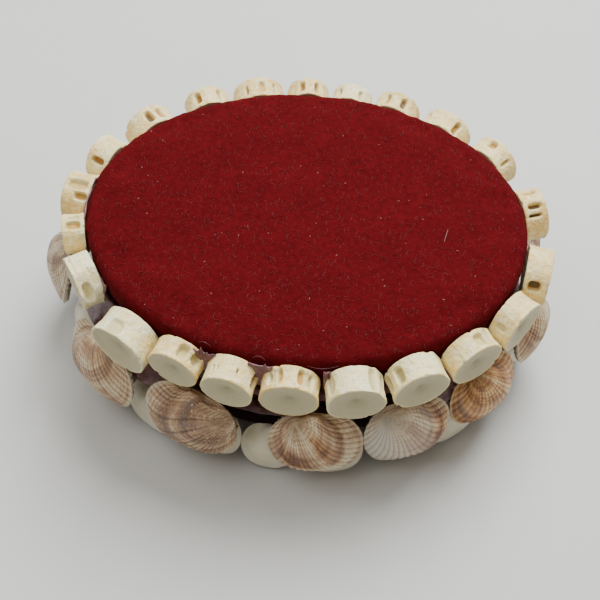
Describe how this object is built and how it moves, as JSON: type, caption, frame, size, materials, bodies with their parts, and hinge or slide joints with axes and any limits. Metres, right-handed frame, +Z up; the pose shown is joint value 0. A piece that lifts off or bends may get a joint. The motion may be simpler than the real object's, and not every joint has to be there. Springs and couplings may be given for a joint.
{
  "type": "pin cushion",
  "caption": "Oval pin cushion: a stuffed red velvet pad in a card box, ringed with fish vertebrae and rows of cockle and small clam shells.",
  "frame": {"origin": "middle of the flat base board's underside, where the part rests", "axes": "+X along the oval's long side, +Y across it, +Z up through the velvet"},
  "size_m": [0.1087, 0.0876, 0.0361],
  "materials": {
    "card": "matt painted pasteboard",
    "wadding": "packed filling",
    "velvet": "cut pile, matt with a soft sheen",
    "glue": "translucent set hot glue",
    "bone": "dry satin bone",
    "cockle_shell": "ribbed, satin",
    "clam_shell": "smooth, semi-gloss"
  },
  "bodies": {
    "root": {"base_board": "card", "side_wall": "card", "stuffing": "wadding", "velvet_cover": "velvet", "glue_bead_upper": "glue", "glue_bead_lower": "glue", "vertebra_01": "bone", "vertebra_02": "bone", "vertebra_03": "bone", "vertebra_04": "bone", "vertebra_05": "bone", "vertebra_06": "bone", "vertebra_07": "bone", "vertebra_08": "bone", "vertebra_09": "bone", "vertebra_10": "bone", "vertebra_11": "bone", "vertebra_12": "bone", "vertebra_13": "bone", "vertebra_14": "bone", "vertebra_15": "bone", "vertebra_16": "bone", "vertebra_17": "bone", "vertebra_18": "bone", "vertebra_19": "bone", "vertebra_20": "bone", "vertebra_21": "bone", "vertebra_22": "bone", "cockle_01": "cockle_shell", "cockle_02": "cockle_shell", "cockle_03": "cockle_shell", "cockle_04": "cockle_shell", "cockle_05": "cockle_shell", "cockle_06": "cockle_shell", "cockle_07": "cockle_shell", "cockle_08": "cockle_shell", "cockle_09": "cockle_shell", "cockle_10": "cockle_shell", "cockle_11": "cockle_shell", "cockle_12": "cockle_shell", "cockle_13": "cockle_shell", "foot_shell_01": "clam_shell", "foot_shell_02": "clam_shell", "foot_shell_03": "clam_shell", "foot_shell_04": "clam_shell", "foot_shell_05": "clam_shell", "foot_shell_06": "clam_shell", "foot_shell_07": "clam_shell", "foot_shell_08": "clam_shell", "foot_shell_09": "clam_shell", "foot_shell_10": "clam_shell", "foot_shell_11": "clam_shell", "foot_shell_12": "clam_shell", "foot_shell_13": "clam_shell", "foot_shell_14": "clam_shell", "foot_shell_15": "clam_shell", "foot_shell_16": "clam_shell", "foot_shell_17": "clam_shell", "foot_shell_18": "clam_shell"}
  },
  "joints": []
}
